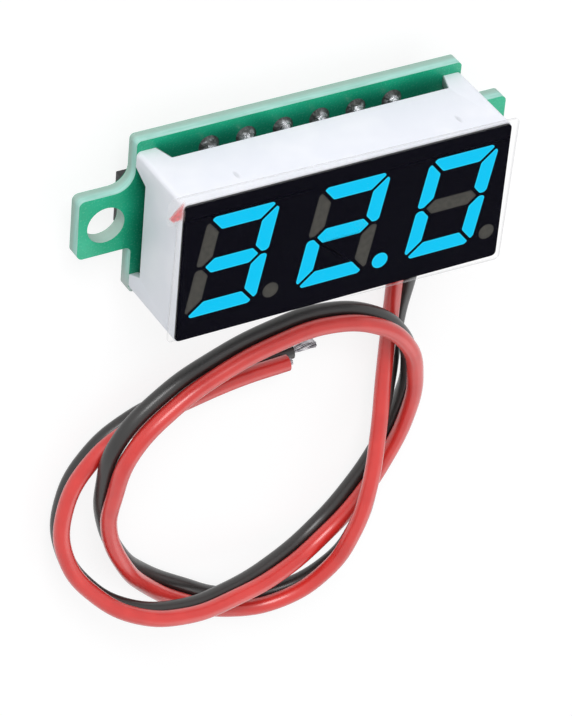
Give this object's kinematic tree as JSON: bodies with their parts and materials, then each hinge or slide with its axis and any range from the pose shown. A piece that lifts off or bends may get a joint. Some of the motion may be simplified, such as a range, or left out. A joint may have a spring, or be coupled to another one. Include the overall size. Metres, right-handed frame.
{
  "type": "digital panel meter",
  "caption": "Small open-frame LED panel meter: white seven-segment display on a green board with screw ears, driver parts on its back, and a red and black wire pair in loose loops.",
  "frame": {"origin": "centre of the bounding box's base without the wires: on the surface under the middle of the module, which rests on the ends of its lower pins and on its input diode", "axes": "+Z out of the display face; +X to the right of the digits, along the line through both ears; +Y to the top of the digits"},
  "size_m": [0.0298, 0.0414, 0.0092],
  "materials": {
    "board_green": "green solder mask over glass laminate",
    "housing_white": "satin white moulding",
    "mask_black": "black printed face",
    "clear_film": "clear peel-off film",
    "plate_laminate": "dark green laminate",
    "gold_bonds": "LED chips with gold bonds",
    "segment_lit": "diffusing resin, lit blue",
    "segment_dark": "diffusing resin, unlit",
    "tinned_metal": "bright tin plating",
    "solder": "bright solder",
    "moulding_black": "black epoxy moulding",
    "ceramic_white": "off-white ceramic",
    "ceramic_tan": "tan ceramic",
    "rotor_metal": "plated rotor",
    "insulation_red": "soft red PVC",
    "insulation_black": "soft black PVC"
  },
  "bodies": {
    "module": {"circuit_board": "board_green", "display_housing": "housing_white", "display_mask": "mask_black", "protective_film": "clear_film", "base_plate": "plate_laminate", "led_chips": "gold_bonds", "digit_1_lit": "segment_lit", "digit_2_lit": "segment_lit", "digit_3_lit": "segment_lit", "lit_point": "segment_lit", "digit_1_dark": "segment_dark", "digit_2_dark": "segment_dark", "digit_3_dark": "segment_dark", "dark_points": "segment_dark", "upper_pins": "tinned_metal", "lower_pins": "tinned_metal", "upper_pin_solder": "solder", "lower_pin_solder": "solder", "microcontroller": "moulding_black", "microcontroller_leads": "tinned_metal", "voltage_regulator": "moulding_black", "voltage_regulator_leads": "tinned_metal", "input_diode": "moulding_black", "input_diode_terminals": "tinned_metal", "trimmer_base": "ceramic_white", "trimmer_terminals": "tinned_metal", "capacitors": "ceramic_tan", "capacitor_ends": "tinned_metal", "resistors": "moulding_black", "resistor_ends": "tinned_metal", "red_wire_joint": "solder", "black_wire_joint": "solder", "red_wire": "insulation_red", "black_wire": "insulation_black", "red_wire_tip": "tinned_metal", "black_wire_tip": "tinned_metal"},
    "trimmer_rotor": {"trimmer_rotor": "rotor_metal"}
  },
  "joints": [
    {"name": "trimmer_turn", "type": "hinge", "parent": "module", "child": "trimmer_rotor", "pos_m": [0.0037, 0, 0.0012], "axis": [0, 0, -1], "range_deg": [-115, 115]}
  ]
}
